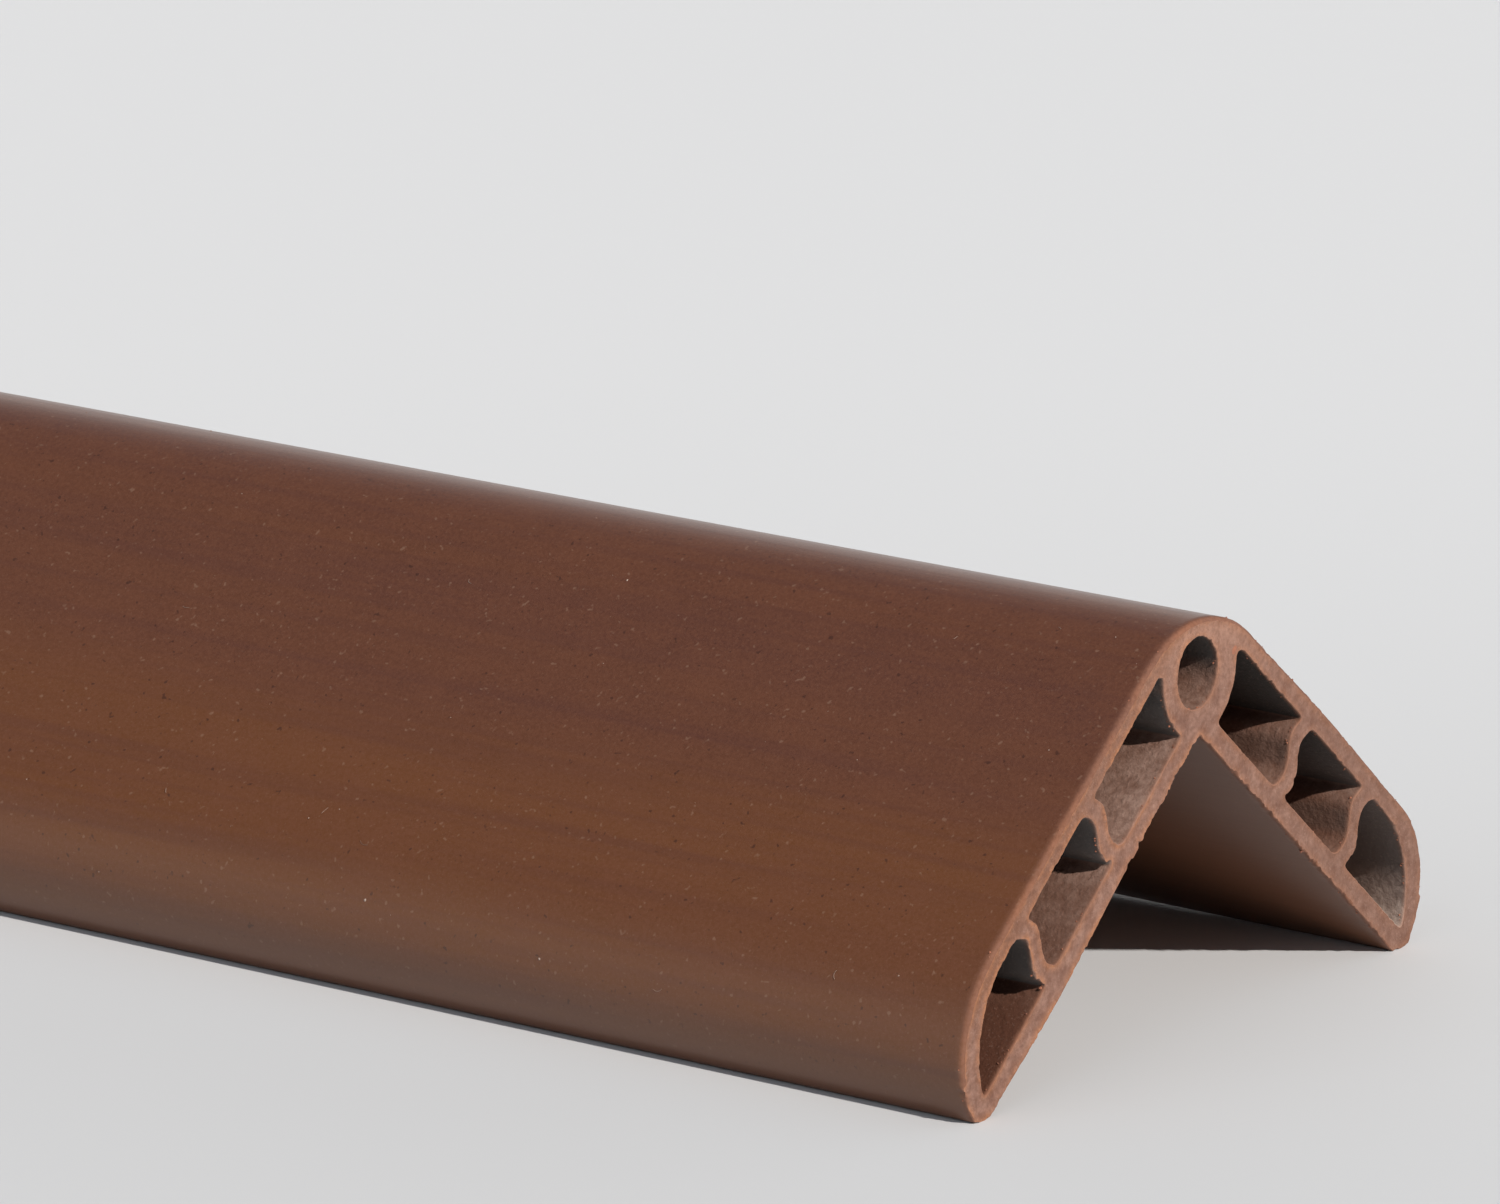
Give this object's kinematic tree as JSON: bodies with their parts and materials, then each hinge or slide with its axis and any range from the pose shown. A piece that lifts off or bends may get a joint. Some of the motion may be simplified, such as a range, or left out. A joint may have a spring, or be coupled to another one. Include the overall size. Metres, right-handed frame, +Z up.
{
  "type": "edge guard",
  "caption": "Hollow soft rubber guard for an outside wall corner, with cushioning cells in both wings and a round bore under its rounded ridge.",
  "frame": {"origin": "on the floor under the middle of the length, midway between the two wing tips that it lies on", "axes": "+X along the length, +Y across from one wing to the other, +Z up from the floor towards the rounded ridge"},
  "size_m": [1, 0.1082, 0.0567],
  "materials": {
    "rubber": "smooth satin brown skin, with paler matte faces where it is cut"
  },
  "bodies": {
    "root": {"edge_guard": "rubber"}
  },
  "joints": []
}
